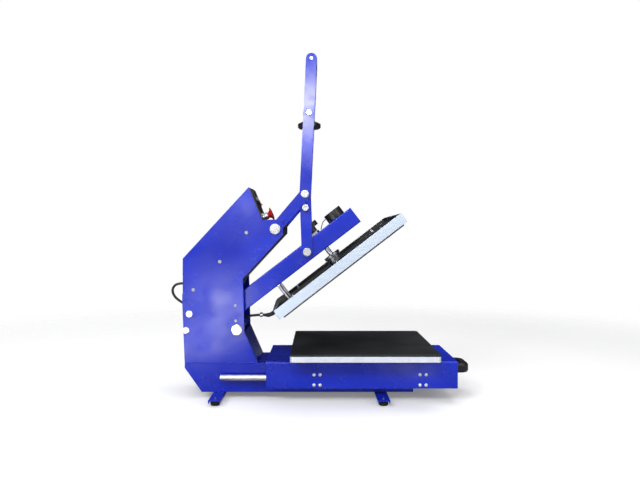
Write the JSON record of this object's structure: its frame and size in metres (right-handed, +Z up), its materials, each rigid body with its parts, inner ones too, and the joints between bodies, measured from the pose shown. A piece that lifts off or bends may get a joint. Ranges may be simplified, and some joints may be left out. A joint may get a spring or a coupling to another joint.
{
  "type": "clamshell heat press",
  "caption": "Clamshell heat press: toggle lever, swinging heated platen, magnetic hold-down, pull-out lower platen and a sloped control box.",
  "frame": {"origin": "under the middle of the bounding box, on the floor plane that the rubber feet touch, with the press open", "axes": "+X towards the operator and the drawer handle, +Y to the press's left side, +Z up along the upright lever"},
  "size_m": [0.8297, 0.4, 0.934],
  "materials": {
    "powder_coat_blue": "glossy royal blue powder coat",
    "powder_coat_navy": "glossy royal blue powder coat, the inner column plate",
    "black_sheet": "satin black powder coat",
    "black_plastic": "moulded, fine texture",
    "key_plastic": "grey keypad film",
    "display_glass": "smoked window",
    "red_plastic": "moulded red",
    "zinc_steel": "bright zinc plating",
    "bright_steel": "ground and polished",
    "black_steel": "black oxide",
    "machined_aluminium": "machined",
    "rim_sheet": "silver paint",
    "silicone_pad": "matt silicone sponge",
    "foot_rubber": "moulded rubber",
    "lead_rubber": "heat-resisting sheath",
    "mineral_board": "pressed mineral board"
  },
  "bodies": {
    "frame": {"base_box": "powder_coat_blue", "side_plate_left": "powder_coat_blue", "side_plate_right": "powder_coat_blue", "column_rear_panel": "powder_coat_blue", "column_front_plate": "powder_coat_navy", "head_under_cover": "black_sheet", "control_box_cover": "powder_coat_blue", "control_panel": "black_sheet", "controller": "black_plastic", "controller_keys": "key_plastic", "display_window": "display_glass", "rocker_housing": "black_plastic", "estop_collar": "bright_steel", "frame_screws": "zinc_steel", "pivot_bolts": "zinc_steel", "rear_bolts": "zinc_steel", "limit_switch": "black_plastic", "foot_channels": "powder_coat_blue", "rubber_feet": "foot_rubber", "slide_bearings": "machined_aluminium", "power_inlet": "black_plastic", "cable_glands": "black_plastic", "heater_lead_rear": "lead_rubber", "return_springs": "zinc_steel"},
    "drawer": {"drawer_shell": "powder_coat_blue", "drawer_handle": "black_plastic", "drawer_rods": "bright_steel", "rod_blocks": "machined_aluminium", "block_screws": "zinc_steel", "platen_standoffs": "machined_aluminium", "lower_platen": "machined_aluminium", "lower_pad": "silicone_pad"},
    "arm": {"arm_tube": "powder_coat_blue", "arm_cheeks": "powder_coat_blue", "magnet": "black_steel", "magnet_wire": "lead_rubber", "spindle_nut": "bright_steel", "rod_bushes": "bright_steel", "lead_clip": "zinc_steel", "heater_lead_mid": "lead_rubber"},
    "platen": {"platen_rim": "rim_sheet", "platen_lid": "black_sheet", "insulation_board": "mineral_board", "heating_plate": "machined_aluminium", "thrust_boss": "bright_steel", "lid_nuts": "zinc_steel", "terminal_box": "black_plastic", "platen_rods": "bright_steel", "heater_lead_end": "lead_rubber"},
    "spindle": {"spindle": "bright_steel", "pressure_knob": "black_plastic"},
    "lever": {"lever_bars": "powder_coat_blue", "lever_grip": "black_plastic", "knee_bolt": "zinc_steel", "lever_bolts": "zinc_steel"},
    "link": {"link_bars": "powder_coat_blue", "link_bolts": "zinc_steel"},
    "armature": {"armature": "black_steel"},
    "estop": {"estop_button": "red_plastic"},
    "rocker": {"power_rocker": "red_plastic"}
  },
  "joints": [
    {"name": "arm_swing", "type": "hinge", "parent": "frame", "child": "arm", "pos_m": [-0.22, 0, 0.185], "axis": [0, 1, 0], "range_deg": [0, 37.6], "stiffness_Nm_per_rad": 70, "springref_deg": -91.67, "deforming": ["return_springs", "heater_lead_mid"]},
    {"name": "lever_swing", "type": "hinge", "parent": "frame", "child": "lever", "pos_m": [-0.117, 0, 0.456], "axis": [0, 1, 0], "range_deg": [0, 99.33]},
    {"name": "link_swing", "type": "hinge", "parent": "lever", "child": "link", "pos_m": [-0.03672, 0, 0.55077], "axis": [0, 1, 0], "range_deg": [-133.71, 0]},
    {"name": "armature_swing", "type": "hinge", "parent": "lever", "child": "armature", "pos_m": [-0.026, 0, 0.771], "axis": [0, 1, 0], "range_deg": [-99.33, 0]},
    {"name": "spindle_turn", "type": "hinge", "parent": "platen", "child": "spindle", "pos_m": [-0.00216, 0, 0.4348], "axis": [-0.6101, 0, 0.7923], "range_deg": [0, 1080.1]},
    {"name": "platen_rise", "type": "slide", "parent": "arm", "child": "platen", "axis": [-0.6101, 0, 0.7923], "range_m": [0, 0.006], "deforming": ["heater_lead_end"]},
    {"name": "drawer_slide", "type": "slide", "parent": "frame", "child": "drawer", "axis": [1, 0, 0], "range_m": [-0.012, 0.15]},
    {"name": "estop_press", "type": "slide", "parent": "frame", "child": "estop", "axis": [-0.9262, 0, -0.377], "range_m": [0, 0.004], "stiffness_N_per_m": 1500, "springref_m": -0.001},
    {"name": "rocker_tilt", "type": "hinge", "parent": "frame", "child": "rocker", "pos_m": [-0.17021, 0.05, 0.53238], "axis": [0, 1, 0], "range_deg": [0, 20]}
  ],
  "couplings": [
    {"joint": "lever_swing", "follows": "arm_swing", "ratio": 2.6405},
    {"joint": "link_swing", "follows": "arm_swing", "ratio": -3.5549},
    {"joint": "armature_swing", "follows": "arm_swing", "ratio": -2.6405},
    {"joint": "spindle_turn", "follows": "platen_rise", "rad_per_m": 3141.6}
  ]
}
